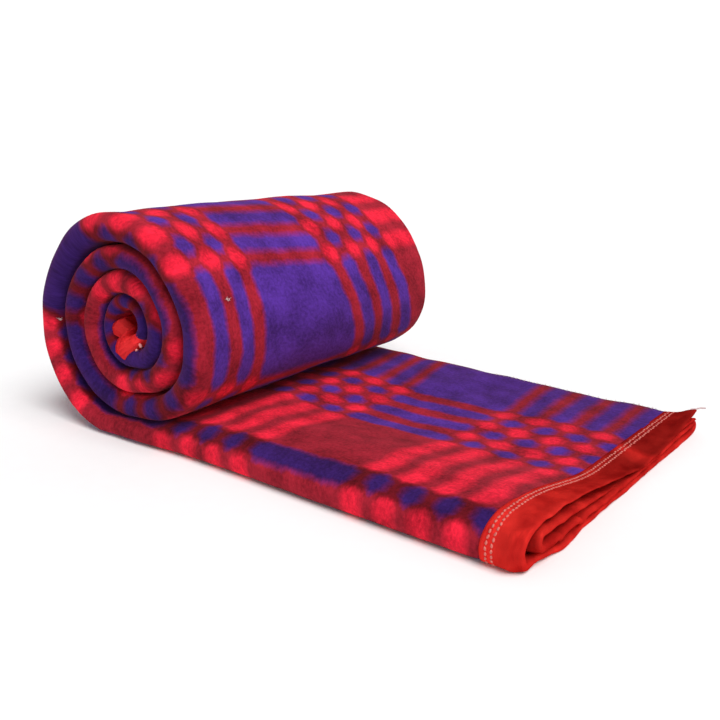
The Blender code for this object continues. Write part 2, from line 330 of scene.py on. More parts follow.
# across the blanket: distance along the path, and the thread coordinate there
WARP_ROWS = (
    (0, -2), (230, 228), (345, 345), (364, 362), (382.5, 382), (413, 402), (432, 422), (453, 442),
    (470, 462), (488, 482), (604, 598), (624, 618), (645, 638), (665, 658), (685, 678), (702, 698),
    (722, 718), (776, 772), (1600, 1596),
)
# all other rows hold a place or a distance along the path, and a shift in mm or a share there
# how far the warp leans on the top layer
TOP_LAYER = (360.0, 240.0)
LEAN_ROWS = ((-389, 10), (-320, 4), (-226, -3), (-120, -6), (0, -6), (60, 0))
# how far the weft lags behind at the far selvedge of the top layer
FAR_EDGE = (130.0, 0.0)
FAR_LEAN_ROWS = ((-446, 0), (-389, 2), (-290, 9), (-163, 18), (0, 18), (120, 0))
# on the flat end the weft runs ahead on the crest of the near fold
FLAT_END = (0.0, -40.0)
CREST = (340.0, 22.0)
CREST_LEAD = 7.0
# on the outer turn the weft lags behind on the bottom layer, and later the warp drops away there
OUTER_TURN = (400.0, 550.0)
BOTTOM_LAYER = (480.0, 600.0)
BOTTOM_LAG_ROWS = ((440, 0), (475, 3), (605, 15), (740, 12))
DROP_ROWS = ((650, 0), (710, 8), (780, 30), (860, 55))
# in the roll the near fold slips round the strip, so another stripe comes to its face
NEAR_FOLD = (385.0, 60.0)
SLIP_ROWS = (
    (-66, 0), (-25, 9), (75, 9), (125, 6), (250, 5), (420, 0), (480, -6), (640, -6), (700, -10), (860, -12),
    (900, -14), (1000, -17), (1250, -15), (1400, -9), (1500, -7), (1800, -7), (1900, -3), (2080, 4),
    (2560, 5), (2680, -8), (2780, -14),
)
# on the left of the roll one blue stripe is stretched over the whole fold
FOLD_STRIPE = 372.0
STRETCHED_FACE = (391.0, 30.0, 4)
STRETCH_ROWS = ((225, 0), (265, 0.8), (420, 0.8), (455, 0))


def read(rows, at):
    """The value in a table of two columns, along straight lines between its rows."""
    places, values = zip(*rows)
    return np.interp(at, places, values)


def hump(at, middle, width, power=2):
    """1 in the middle, falling to 0 on both sides."""
    return np.exp(-((at - middle) / width) ** power)


def fade(limits, at):
    """0 before the first limit and 1 past the second."""
    return blend((0.0, 1.0), limits, at)


def stripe_rows():
    """Rows of a place and the thread coordinate there, one for each red stripe across the blanket."""
    sets = [[-along for along in stripes] for stripes in STRIPES_ON_FLAT]
    sets += [[TURN * turn for turn in stripes] for stripes in STRIPES_IN_ROLL]
    rows = [(place, number * STRIPE_SET + k * STRIPE_PITCH)
            for number, places in enumerate(sets) for k, place in enumerate(places)]
    first = np.add(rows[0], BEFORE_STRIPES)
    last = np.add(rows[-1], AFTER_STRIPES)
    return [first] + rows + [last]


def threads(place, path):
    """Thread coordinates in metres, from the place of each section and the distance along its path."""
    outer = fade(OUTER_TURN, place) * (place < TURN)
    along = read(stripe_rows(), place) + fade(FLAT_END, place) * CREST_LEAD * hump(path, *CREST)
    along = along - fade(FAR_EDGE, path) * read(FAR_LEAN_ROWS, place) - outer * read(BOTTOM_LAG_ROWS, path)
    across = read(WARP_ROWS, path) + fade(TOP_LAYER, path) * read(LEAN_ROWS, place)
    across = across + hump(path, *NEAR_FOLD) * read(SLIP_ROWS, place)
    stretch = hump(path, *STRETCHED_FACE) * read(STRETCH_ROWS, place)
    across = across + stretch * (FOLD_STRIPE - across)
    drop = outer * fade(BOTTOM_LAYER, path) * read(DROP_ROWS, place)
    return along * MM, (across - drop) * MM


# %% [markdown]
# ## Soft unevenness
#
# Nothing in the blanket is quite even. The whole strip, all four layers together, swells and sinks by a
# millimetre or two, so neighbouring layers never touch. Troughs and ridges that show in the photograph
# are placed one by one.

# %% Unevenness
# height, length along, length across, phase
SWELLS = (
    (0.7, 210, 330, 0.4), (0.5, 120, -170, 2.1), (0.35, 74, 120, 4), (0.25, 47, -81, 1.2),
)
# place, distance across, height, length along, length across
CREASES = (
    (440, 6, 2.4, 40, 14), (505, 34, -1.8, 40, 12), (500, 66, 0.9, 40, 16),
    (560, 30, 1.8, 40, 16), (640, 200, 0.8, 60, 90), (-330, 60, 0.8, 50, 14),
    (-240, 120, -0.7, 60, 30), (-140, 60, 1.2, 30, 26),
)


def unevenness(place, arc, across):
    """How far the strip swells at each point, in mm."""
    total = 0.0 * across
    for height, along_length, across_length, phase in SWELLS:
        total = total + height * np.sin(math.tau * (arc / along_length + across / across_length) + phase)
    for at, where, height, along_length, across_length in CREASES:
        total = total + height * hump(place, at, along_length) * hump(across, where, across_length)
    return total


# %% [markdown]
# ## The cloth
#
# The cloth starts as a flat grid, as it came off the loom, and each of its points is moved to its place
# in the folds. Solidify then gives it its thickness. The grid is dense on the flat end and on the
# outer turn, which are seen whole, and coarser in the inner turns, of which only the folded edge shows.

# %% Cloth sheet
CLOTH_STEPS = {"top": 40, "fold": 9, "bottom": 44, "small": 6, "inner": 5}
TAPE_EDGE = 410.5
# sections of the flat end: a few where the tape presses the cloth, then one every few mm
PRESSED_SECTIONS = (412.0, 409.0, 406.0, 402.0)
FLAT_START = 398.0
FLAT_STEP = 5.0
# sections of the roll: first turn, number of sections, sections in a turn
ROLL_SECTIONS = ((0.0, 126, 126.0), (1.0, 96, 48.0), (3.0, 27, 32.0))
# places where the cloth gives way to the tape, and how much of its pile is pressed flat
PRESSED_ALONG = (-396.0, -406.0)
PILE_PRESSED_ALONG = (-402.0, -409.0)
PILE_PRESSED = 0.45
# up to this height the cloth lies too close to the floor to swell
CALM_HEIGHT = 12.0


def arc_of(sections):
    """Distance along the foot of the strip, in mm, as a column."""
    steps = np.hypot(np.diff(sections["foot_x"][:, 0]), np.diff(sections["foot_z"][:, 0]))
    return np.concatenate([[0.0], np.cumsum(steps)])[:, None]


def as_mesh(name, bm):
    """Keep what was built as a mesh."""
    mesh = bpy.data.meshes.new(name)
    bm.to_mesh(mesh)
    bm.free()
    mesh.shade_smooth()
    return mesh


def sheet_mesh(name, points, uv):
    """A grid whose points are moved to their places, with a UV map."""
    rows, columns = points.shape[:2]
    bm = bmesh.new()
    bmesh.ops.create_grid(bm, x_segments=columns - 1, y_segments=rows - 1, size=1.0)
    mesh = as_mesh(name, bm)
    flat = np.empty(len(mesh.vertices) * 3)
    mesh.vertices.foreach_get("co", flat)
    flat = flat.reshape(-1, 3)
    i = np.rint((flat[:, 1] + 1) * 0.5 * (rows - 1)).astype(int)
    j = np.rint((flat[:, 0] + 1) * 0.5 * (columns - 1)).astype(int)
    mesh.vertices.foreach_set("co", points[i, j].ravel())
    corners = np.empty(len(mesh.loops), dtype=np.int32)
    mesh.loops.foreach_get("vertex_index", corners)
    layer = mesh.uv_layers.new(name="threads")
    layer.data.foreach_set("uv", uv[i, j][corners].ravel().astype(np.float32))
    mesh.update()
    return put(name, mesh), i


def thicken(piece, thickness):
    """Give a sheet its thickness, half to each side."""
    thick = piece.modifiers.new("thickness", "SOLIDIFY")
    thick.thickness = thickness * MM
    thick.offset = 0.0
    return thick


def make_cloth():
    """The whole blanket cloth as one sheet."""
    along = np.concatenate([PRESSED_SECTIONS, np.arange(FLAT_START, 0.0, -FLAT_STEP)])
    turns = np.concatenate([first + np.arange(count) / in_turn for first, count, in_turn in ROLL_SECTIONS])
    sections = joined(flat_sections(along), roll_sections(turns))
    place = np.concatenate([-along, TURN * turns])[:, None]
    half = blend((0.5 * LAYER, BOUND_HALF), PRESSED_ALONG, place)
    across, height = cloth_paths(sections, half, CLOTH_STEPS)
    path = distance(across, height)
    swell = unevenness(place, arc_of(sections), across)
    calm = np.where(place < FLOOR_TURN * TURN, np.clip(height / CALM_HEIGHT, 0.0, 1.0), 1.0)
    push = np.where(place > 0.0, -1.0, 1.0) * swell * calm
    points = in_space(sections, across, height + push)
    points[..., 2] = np.maximum(points[..., 2], 0.5 * LAYER * MM)
    u, v = threads(place + 0.0 * across, path)
    piece, section = sheet_mesh("blanket_cloth_pile", points, np.stack([u, v], axis=-1))
    loft = 1.0 - PILE_PRESSED * fade(PILE_PRESSED_ALONG, place[:, 0])
    press = piece.vertex_groups.new(name="loft")
    for row, weight in enumerate(loft):
        press.add([int(k) for k in np.flatnonzero(section == row)], float(weight), "REPLACE")
    thick = thicken(piece, LAYER)
    thick.vertex_group = press.name
    thick.use_even_offset = True
    width = float(path[:, -1].mean()) * MM
    # rolled up, the outer layer is stretched and the inner one slips, so the cut length is their mean
    length = float(np.linalg.norm(np.diff(points, axis=0), axis=2).sum(axis=0).mean())
    return piece, width, length, (place[:, 0], path, points)


cloth, cloth_width, cloth_length, cloth_surface = make_cloth()
print("cloth:", len(cloth.data.polygons), "faces,", round(cloth_width, 3), "by", round(cloth_length, 3), "m")

# %% [markdown]
# ## Satin tape
#
# Each cut end is wrapped in a satin tape, folded over the edge and stitched through. The tape is another
# sheet: it runs along the top of the cloth to the edge, turns there, and comes back underneath. Satin is
# thin and slippery, so it crumples between the stitches and the edge far more than the pile does.

# %% Tape sheets
TAPE_STEPS = {"top": 150, "fold": 22, "bottom": 110, "small": 8, "inner": 60}
TAPE_ROWS = 19
TAPE_THICK = 0.45
# a tape that is crushed hard breaks into flat facets about a centimetre wide, so it gets a coarse mesh
CRUSHED_STEPS = {"top": 60, "fold": 4, "bottom": 60, "small": 4, "inner": 30}
CRUSHED_ROWS = 7
# where the tapes end: the end tape in mm along the flat end, the core tape in turns, with its start
END_EDGE = 446.0
CORE_EDGES = (3.79, 4.10)
# the round of the tape's fold: how far past the edge each of its rows lies, and on which face
NOSE = ((1.030, 0.7), (1.050, 0.0), (1.030, -0.7))
# shares of the tape's width: where it comes loose, curls or bulges, and how far on it has done so
LOOSE = (0.3, 0.6)
CURLED = (0.66, 0.34)
BULGED = (0.2, 0.95)
BULGE_POWER = 0.6
# half the gap between its plies where the bulge ends, half a gap that lets them crumple, and the share
# of the crumples where they lie closer
CLOSED_HALF = 0.7
FREE_HALF = 1.5
HELD_SHARE = 0.35
TAPE_ACROSS = 0.045
# height, length along the tape, phase: soft waves of the whole tape, and crumples of its loose part
WAVES = ((0.4, 118.0, 0.4), (0.25, 67.0, 2.2))
CRUMPLES = ((0.9, 26.0, 0.3), (0.7, 41.0, 1.9), (0.45, 17.0, 4.4))
# how the crumples run askew: swing, length of the swing, and turn across the tape
ASKEW = (1.1, 33.0, 2.2)
# distance along the tape, height, width: ridges and troughs that run straight across it
RIDGES = (
    (108, -1.2, 14), (132, 2.6, 7), (152, -1, 10), (318, 1, 9), (600, 1, 12),
    (1080, -3, 5), (1122, -3, 5),
)

# distance along the tape, and half the gap between its plies there
END_PUFF = (
    (0, 2), (60, 1), (300, 1), (345, 2), (385, 4.6), (430, 4.2), (480, 2.8), (700, 2.6), (775, 3.8),
    (830, 3.6), (950, 3), (1060, 3.3), (1140, 4.2), (1230, 3.2), (1300, 1.4),
)
CORE_PUFF = (
    (0, 1), (310, 1.5), (355, 8), (385, 10), (420, 8), (450, 2.5), (1080, 1.5), (1125, 5), (1155, 5),
    (1200, 1.5),
)
# distance along the tape, and how far its loose part is pushed along x, y and z
END_SHOVE = (
    (0, -4, 0, 0), (25, -3, 0, -3), (60, -2, 0, -6), (105, -2, 0, -6.5), (132, -1, 0, -9), (160, -2, 0, -6),
    (190, -3, 0, -1.5), (220, -4, 0, 1), (280, -3, 0, 0), (340, -2, 0, -3), (375, -1, 1, -2),
    (400, -1, 1.5, 1), (430, -1, 1, 1), (468, 2.5, 0, 0), (510, -1.5, 0, 0), (780, -2.5, 0, 0),
    (800, -3, 0, 3), (860, -5, 0, -2), (1000, -3, 0, -1), (1080, 0, 0, 0), (1240, 0, 0, 0),
    (1320, -7, 0, -4), (1370, -9, 0, -7), (1460, -9, 0, -6), (1490, -3, 0, 0), (1600, 0, 0, 0),
)
CORE_SHOVE = (
    (310, 0, 0, 0), (365, 5, -6, -9), (400, 6, -9, -10), (440, 2, -2, -3), (500, 0, 0, 0), (1070, 0, 0, 0),
    (1125, -6, -9, 8), (1140, -8, -13, 9), (1160, -6, -9, 9), (1215, 0, 0, 0),
)
# the same for the part near its folded edge
END_CURL = (
    (330, 0, 0, 0), (385, -2, 3, 0), (430, -2, 3, 2), (480, 0, 0, 0), (1100, 0, 0, 0), (1140, 3, 2, 2),
    (1180, 0, 0, 0),
)
CORE_CURL = (
    (310, 0, 0, 0), (360, -1, 9, 9), (380, -2, 8, 4), (400, -1, 9, 8), (440, 0, 0, 2), (500, 0, 0, 0),
)
END_CRUMPLE = 0.35
CORE_CRUMPLE = 3.0


def tape_rows(edges, count):
    """Places across the tape, over the cloth, round the edge and back, and which face each is on."""
    reach = np.linspace(0.0, 1.0, count)
    nose, side = zip(*NOSE)
    places = np.concatenate([reach, nose, reach[::-1]])
    face = np.concatenate([np.ones(count), side, -np.ones(count)])
    return edges[0] + (edges[1] - edges[0]) * places, face[:, None], places[:, None]


def crumpled(path, reach):
    """Sharp-edged folds of a thin, slippery cloth: waves with pinched crests that run askew."""
    total = 0.0 * path
    swing, swing_length, turn = ASKEW
    for height, length, phase in CRUMPLES:
        askew = swing * np.sin(path / swing_length + phase) + turn * reach
        total = total + height * (1.0 - 2.0 * np.abs(np.sin(math.pi * path / length + phase + askew)))
    return total


def make_tape(name, kind, edges, puff, shove, curl, crumple, steps=TAPE_STEPS, count=TAPE_ROWS):
    """A tape round a cut edge. kind makes its sections, and edges are the places of its start and end."""
    places, face, reach = tape_rows(edges, count)
    sections = kind(places)
    across, height = cloth_paths(sections, BOUND_HALF, steps)
    out_y, out_z = outwards(across, height)
    path = distance(across, height)
    loose, curled = (ease((reach - start) / over) for start, over in (LOOSE, CURLED))
    bulge = np.sin(math.pi * np.clip((reach - BULGED[0]) / BULGED[1], 0.0, 1.0)) ** BULGE_POWER
    puffed = read(puff, path)
    tight = BOUND_HALF - 0.5 * TAPE_THICK
    half = tight * (1.0 - loose) + loose * (CLOSED_HALF + (puffed - CLOSED_HALF) * bulge)
    wave = sum(rise * np.sin(math.tau * path / length + phase) for rise, length, phase in WAVES)
    wave = wave + sum(rise * hump(path, at, width) for at, rise, width in RIDGES)
    crumples = crumple * crumpled(path, reach) * np.where(puffed > FREE_HALF, 1.0, HELD_SHARE)
    lift = face * half + loose * (wave + crumples)
    points = in_space(sections, across + out_y * lift, height + out_z * lift)
    for part, rows in ((loose, shove), (curled, curl)):
        where, *pushes = zip(*rows)
        for axis, push in enumerate(pushes):
            points[..., axis] += part * np.interp(path, where, push) * MM
    points[..., 2] = np.maximum(points[..., 2], 0.5 * TAPE_THICK * MM)
    uv = np.stack([reach * TAPE_ACROSS + 0.0 * path, path * MM], axis=-1)
    piece, _ = sheet_mesh(name, points, uv)
    thicken(piece, TAPE_THICK)
    return piece, float(path[:, -1].mean()) * MM


end_tape, end_length = make_tape("end_binding_satin", flat_sections, (TAPE_EDGE, END_EDGE),
                                 END_PUFF, END_SHOVE, END_CURL, END_CRUMPLE)
core_tape, core_length = make_tape("core_binding_satin", roll_sections, CORE_EDGES, CORE_PUFF,
                                   CORE_SHOVE, CORE_CURL, CORE_CRUMPLE, CRUSHED_STEPS, CRUSHED_ROWS)
core_tape.data.shade_flat()
print("tapes:", round(end_length, 3), "and", round(core_length, 3), "m long")

# %% [markdown]
# ## Stitches
#
# Two rows of pale thread hold each tape. One stitch is a short, slightly flattened bead of thread. A
# thousand separate objects would be slow, and a drawn line would look flat, so each bead is a small
# icosphere, squeezed and turned by its own matrix, and all of them share one mesh. In the crumpled core
# only two stitches come to the light.

# %% Stitch rows
# rows in mm along the flat end and in turns of the roll; a bead's length, width and height
END_ROWS, END_BEAD, END_PITCH = (416.0, 421.0), (4.2, 2.4, 1.3), 4.6
CORE_ROWS, CORE_BEAD, CORE_PITCH = (3.85, 3.91), (8.5, 3.4, 2.6), 7.99
# how far off the cloth's middle a bead lies, and more so in the core, where the tape stands open
STITCH_LIFT = BOUND_HALF + 0.2
CORE_LIFT = STITCH_LIFT + 2.3
CORE_TILT = -0.8
# the stretch of the path that gets stitches
WHOLE = (0.0, 5000.0)
CORE_STRETCH = (402.0, 407.0)
# each row starts this share of a pitch later; the rows wander more where the seam starts
ROW_LAG = 0.3
SEAM_START = 150.0
START_WANDER, WANDER = 0.45, 0.2
LEAN = 0.22
# how fast a bead's wandering and leaning change from one to the next
WANDER_PACE, LEAN_PACE = 2.4, 1.7
# how far ahead the thread's direction is read, and how low a bead may lie, in its own heights
AHEAD = 2.0
LOWEST = 0.6


def make_stitches(name, kind, rows, size, pitch, within=WHOLE, lift=STITCH_LIFT, tilt=0.0):
    """Stitches along rows of the tape, on the side that faces out, each a squeezed bead of thread.

    tilt is how far they are pulled out of line, in radians."""
    bm = bmesh.new()
    bead = Matrix.Diagonal([0.5 * span * MM for span in size] + [1.0])
    count = 0
    for row, place in enumerate(rows):
        sections = kind([place])
        across, height = cloth_paths(sections, BOUND_HALF, TAPE_STEPS)
        out_y, out_z = outwards(across, height)
        outer = in_space(sections, across + out_y * lift, height + out_z * lift)[0]
        inner = in_space(sections, across, height)[0]
        steps = np.linalg.norm(np.diff(outer, axis=0), axis=1)
        walked = np.concatenate([[0.0], np.cumsum(steps)]) / MM
        for k in range(int(walked[-1] / pitch)):
            at = (k + 0.5 + ROW_LAG * row) * pitch
            here, base, ahead = (Vector([np.interp(where, walked, points[:, c]) for c in range(3)])
                                 for where, points in ((at, outer), (at, inner), (at + AHEAD, outer)))
            if not within[0] < at < within[1] or here.z < LOWEST * size[2] * MM:
                continue
            up = (here - base).normalized()
            along = (ahead - here).normalized()
            side = up.cross(along).normalized()
            wander = START_WANDER if at < SEAM_START else WANDER
            here = here + side * (wander * MM * math.sin(WANDER_PACE * k + row))
            lean = tilt + LEAN * math.sin(LEAN_PACE * k + 2.0 * row)
            turned = Matrix((along, side, up)).transposed() @ Matrix.Rotation(lean, 3, "Z")
            bmesh.ops.create_icosphere(bm, subdivisions=1, radius=1.0,
                                       matrix=Matrix.Translation(here) @ turned.to_4x4() @ bead)
            count += 1
    return put(name, as_mesh(name, bm)), count


end_stitches, end_count = make_stitches("end_stitches", flat_sections, END_ROWS, END_BEAD, END_PITCH)
core_stitches, core_count = make_stitches("core_stitches", roll_sections, CORE_ROWS, CORE_BEAD, CORE_PITCH,
                                          CORE_STRETCH, CORE_LIFT, CORE_TILT)
print("stitches:", end_count, "on the end tape and", core_count, "on the core tape")


# %% [markdown]
# ## Loose fibres
#
# A used blanket is never quite clean of its own fibres. The whipping of the far selvedge shows as small
# pale tufts, one thread hangs off the far corner, and two bits of fluff cling to the roll.

# %% Tufts, fluff and a loose thread
# place, distance along the path, size
FLUFF = ((237.0, 378.0, 1.28), (696.0, 445.0, 1.6))
FLUFF_FIBRES = 21
# tufts along the whipped selvedge: first place, last place, pitch
TUFTS = (-406.0, -215.0, 3.1)
TUFT_SIZE = 0.9
TUFT_FIBRES = 5
# how far a tuft may stray from its place, and from the selvedge
TUFT_STRAY, TUFT_BAND = 1.0, 2.5
FIBRE_RADIUS = 0.14
FIBRE_LENGTHS = (1.2, 3.0)
# how far fibres point outwards against their spread, and how far the grains lie apart
FIBRE_OUT, FIBRE_SPREAD, GRAIN_SPREAD = 0.5, 0.7, 0.5
GRAIN_RADIUS = 0.45
# the loose thread, from its offset off the far corner: direction of each length of it
FAR_CORNER = (-412.0, 2.0)
THREAD_OFFSET = (26.0, 1.0, 8.0)
THREAD_BENDS = ((0.9, 0.2, 0.2), (0.8, 0.5, 0.3), (0.9, 0.1, 0.1))
THREAD_LENGTH = 5.0
THREAD_RADIUS = 0.9
chance = np.random.default_rng(7)


def spot(place, at):
    """A point on the face of the cloth and its outward direction there."""
    places, path, points = cloth_surface
    row = int(np.argmin(np.abs(places - place)))
    col = int(np.clip(np.searchsorted(path[row], at), 1, path.shape[1] - 1))
    part = float(np.clip((at - path[row, col - 1]) / (path[row, col] - path[row, col - 1]), 0.0, 1.0))
    here = points[row, col - 1] * (1 - part) + points[row, col] * part
    around = points[row, col] - points[row, col - 1]
    other = min(row + 1, len(places) - 1)
    ahead = points[other, col] - points[other - 1, col]
    out = Vector(np.cross(ahead, around)).normalized()
    return Vector(here) + 0.5 * LAYER * MM * out, out


def strand(bm, start, towards, length, radius, taper=0.4):
    """One straight fibre as a thin cone."""
    turned = towards.to_track_quat("Z", "Y").to_matrix().to_4x4()
    middle = Matrix.Translation(start + 0.5 * length * MM * towards)
    bmesh.ops.create_cone(bm, segments=5, radius1=radius * MM, radius2=taper * radius * MM,
                          depth=length * MM, matrix=middle @ turned)
    return start + length * MM * towards


def tuft(bm, place, at, size, count):
    """A small tangle of fibres round a few soft grains."""
    here, out = spot(place, at)
    for _ in range(count):
        lean = (out * FIBRE_OUT + Vector(chance.normal(0.0, FIBRE_SPREAD, 3))).normalized()
        strand(bm, here, lean, size * chance.uniform(*FIBRE_LENGTHS), FIBRE_RADIUS * size ** 0.5)
    for _ in range(count // 3):
        grain = Matrix.Translation(here + Vector(chance.normal(0.0, GRAIN_SPREAD * size, 3)) * MM)
        bmesh.ops.create_icosphere(bm, subdivisions=1, radius=GRAIN_RADIUS * size * MM, matrix=grain)


def make_fibres():
    """Tufts on the selvedge, fluff on the roll and a loose thread, as one piece."""
    bm = bmesh.new()
    for place in np.arange(*TUFTS):
        tuft(bm, place + chance.uniform(-TUFT_STRAY, TUFT_STRAY), chance.uniform(0.0, TUFT_BAND),
             TUFT_SIZE, TUFT_FIBRES)
    for place, at, size in FLUFF:
        tuft(bm, place, at, size, FLUFF_FIBRES)
    tip, _ = spot(*FAR_CORNER)
    tip = tip + Vector(THREAD_OFFSET) * MM
    for bend in THREAD_BENDS:
        tip = strand(bm, tip, Vector(bend).normalized(), THREAD_LENGTH, THREAD_RADIUS, 1.0)
    return put("loose_fibres", as_mesh("loose_fibres", bm))


fibres = make_fibres()
print("loose fibres:", len(fibres.data.polygons), "faces")

# %% [markdown]
# ## Materials
#
# One small function adds a node with its settings and links, and a few short ones call it for the kinds
# of node that come back. Another turns the hex colours of a paint chart, which are sRGB, into the linear
# values that the renderer works in.

# %% Material helpers
def linear(code):
    """A hex sRGB colour as linear RGBA."""
    parts = [int(code[k:k + 2], 16) / 255.0 for k in (1, 3, 5)]
    return tuple(p / 12.92 if p <= 0.04045 else ((p + 0.055) / 1.055) ** 2.4 for p in parts) + (1.0,)


def add(tree, kind, inputs=None, **settings):
    """Add a node with its settings, its values and its links."""
    made = tree.nodes.new(kind)
    for name, value in settings.items():
        setattr(made, name, value)
    for name, value in (inputs or {}).items():
        if isinstance(value, bpy.types.NodeSocket):
            tree.links.new(value, made.inputs[name])
        else:
            made.inputs[name].default_value = value
    return made


def calc(tree, operation, *values):
    """The result of a sum."""
    return add(tree, "ShaderNodeMath", dict(enumerate(values)), operation=operation).outputs[0]


def noise(tree, vector, scale, detail, roughness=0.5, result="Fac"):
    """Soft random variation."""
    return add(tree, "ShaderNodeTexNoise", {"Vector": vector, "Scale": scale, "Detail": detail,
                                            "Roughness": roughness}).outputs[result]


def bumped(tree, height, strength, depth):
    """Normals of small bumps."""
    made = add(tree, "ShaderNodeBump", {"Height": height, "Strength": strength, "Distance": depth})
    return made.outputs["Normal"]


def mapped(tree, value, ends, results, kind="LINEAR"):
    """One range of values turned into another."""
    names = ("Value", "From Min", "From Max", "To Min", "To Max")
    inputs = dict(zip(names, (value, *ends, *results)))
    return add(tree, "ShaderNodeMapRange", inputs, interpolation_type=kind).outputs["Result"]


def grey(value):
    """A ramp's grey, to multiply a colour with."""
    return (value, value, value, 1.0)


def ramp(tree, value, marks):
    """A colour for every value, blended between marks, each a place and its colour."""
    made = add(tree, "ShaderNodeValToRGB", {"Fac": value})
    elements = made.color_ramp.elements
    elements.remove(elements[-1])
    elements[0].position, elements[0].color = marks[0]
    for place, colour in marks[1:]:
        elements.new(place).color = colour
    return made.outputs["Color"]


def two_tone(tree, value, dark, light, ends=(0.0, 1.0)):
    """A ramp between two hex colours."""
    return ramp(tree, value, list(zip(ends, (linear(dark), linear(light)))))


def tinted(tree, colour, shade):
    """A colour multiplied by another."""
    return add(tree, "ShaderNodeMix", {"Factor": 1.0, 6: colour, 7: shade},
               data_type="RGBA", blend_type="MULTIPLY").outputs[2]


def new_material(name):
    """An empty material."""
    material = bpy.data.materials.new(name)
    material.use_nodes = True
    material.node_tree.nodes.clear()
    return material, material.node_tree


def surface(tree, looks):
    """The Principled shader with its looks, linked to the material's output."""
    shader = add(tree, "ShaderNodeBsdfPrincipled", looks)
    add(tree, "ShaderNodeOutputMaterial", {"Surface": shader.outputs["BSDF"]})


# %% [markdown]
# ## Brushed pile
#
# Acrylic or wool yarn, woven and then brushed until the fibres stand up in a dense pile. It scatters
# light in all directions, glows a little where it is seen edge on, and hides the weave. Where red
# crosses red the cloth is bright red, where blue crosses blue it is violet, and where they mix the eye
# sees maroon. The pile blurs the edges of the stripes, and more so along the blanket, the way in which
# it was brushed.

# %% Pile material
# stripes take turns: the first warp stripe is red, the first weft stripe blue; blur is half an edge's width
WARP_WIDTHS = (66, 20, 20, 20, 20, 20, 20, 116, 20, 20, 20, 20, 20, 20, 66)
WARP_START = 296.0
WARP_BLUR = 4.5
WEFT_WIDTHS = (55.6, 17, 16.4, 17, 16.4, 17, 16.4, 17, 55.6)
WEFT_START = -64.1
WEFT_BLUR = 7.0
RED, BLUE = 1.0, 0.0
# share of red threads, and the colour that the eye sees: violet, maroon, bright red
CHECK = ((0.12, "#472880"), (0.46, "#8E1C2A"), (0.56, "#8E1C2A"), (0.88, "#D62036"))
# in metres: how far the stripes' edges wander, and where the pile is open round the fold's stripe and
# painted shade darkens it
EDGE_WANDER = 0.009
OPENED_AND_SHADED = (0.008, 0.014)
# in metres from the free edge: where the pile's colour is drawn darker, down to 0.78 at the edge
DARKER_NEAR_EDGE = (0.04, 0.18)


def stripes(tree, thread, widths, first, start, blur):
    """Draw stripes that take turns along a thread coordinate, from the first one's colour."""
    repeat = sum(widths)
    repeats = calc(tree, "DIVIDE", calc(tree, "SUBTRACT", thread, start * MM), repeat * MM)
    marks, at, value = [], 0.0, first
    for width in widths[:-1]:
        at += width
        marks += [((at - blur) / repeat, grey(value)), ((at + blur) / repeat, grey(1.0 - value))]
        value = 1.0 - value
    return ramp(tree, calc(tree, "FRACT", repeats), marks)


def brushed_pile():
    """The plaid pile of the blanket."""
    material, tree = new_material("brushed_plaid_pile")
    uv = add(tree, "ShaderNodeUVMap", uv_map="threads").outputs["UV"]
    apart = add(tree, "ShaderNodeSeparateColor", {"Color": noise(tree, uv, 55.0, 5.0, 0.7, "Color")})
    split = add(tree, "ShaderNodeSeparateXYZ", {"Vector": uv})
    along, across = (
        calc(tree, "MULTIPLY_ADD", calc(tree, "ADD", apart.outputs[channel], -0.5), EDGE_WANDER,
             split.outputs[axis]) for channel, axis in (("Red", "X"), ("Green", "Y")))
    weft = stripes(tree, along, WEFT_WIDTHS, BLUE, WEFT_START, WEFT_BLUR)
    warp = stripes(tree, across, WARP_WIDTHS, RED, WARP_START, WARP_BLUR)
    redness = calc(tree, "MULTIPLY", calc(tree, "ADD", weft, warp), 0.5)
    check = ramp(tree, redness, [(share, linear(code)) for share, code in CHECK])
    # folded sharply, the pile opens and shows its darker ground; the same darkening is painted shade deep in
    # the near fold
    from_fold = calc(tree, "ABSOLUTE", calc(tree, "SUBTRACT", across, FOLD_STRIPE * MM))
    opened_and_shaded = mapped(tree, from_fold, OPENED_AND_SHADED, (0.45, 1.0), "SMOOTHSTEP")
    darker_near_edge = mapped(tree, across, DARKER_NEAR_EDGE, (0.78, 1.0), "SMOOTHSTEP")
    flecks = noise(tree, uv, 300.0, 5.0, 0.7)
    clouds = noise(tree, uv, 32.0, 3.0, 0.55)
    both = calc(tree, "ADD", flecks, clouds)
    shade = mapped(tree, both, (0.75, 1.25), (0.55, 1.5))
    shade = calc(tree, "MULTIPLY", shade, calc(tree, "MULTIPLY", opened_and_shaded, darker_near_edge))
    surface(tree, {"Base Color": tinted(tree, check, shade), "Normal": bumped(tree, both, 0.35, 0.0012),
                   "Roughness": 0.95, "Specular IOR Level": 0.15, "IOR": 1.25, "Sheen Weight": 0.10,
                   "Sheen Roughness": 0.5, "Sheen Tint": linear("#FF8C9A")})
    return material


# %% [markdown]
# ## Satin tape and thread
#
# Polyester satin: long floats of smooth filament lie side by side, so the tape shines in soft streaks
# along its length and shows every crumple. The stitches are spun polyester thread, paler than the tape.

# %% Satin and thread materials
# painted light and shade along the tape, a painted highlight on one ridge: distance in metres, and
# brightness
PAINTED_LIGHT_ALONG = ((0.02, 0.48), (0.118, 0.42), (0.133, 0.95), (0.150, 0.44), (0.22, 0.64), (0.30, 0.88),
          (0.36, 1.04), (0.44, 1.04), (0.62, 0.84))
# in metres across the tape: where it is sewn down, the padding under it lifts it to the light, and a painted
# highlight brightens it there
SEWN_PAINTED_HIGHLIGHT = (0.012, 0.016)
# how much finer the floats are across the tape than along it
FLOAT_SCALE = (2400.0, 90.0, 1.0)
# the part of the noise in which one shade of dye passes into the other
DYE_ENDS = (0.3, 0.7)


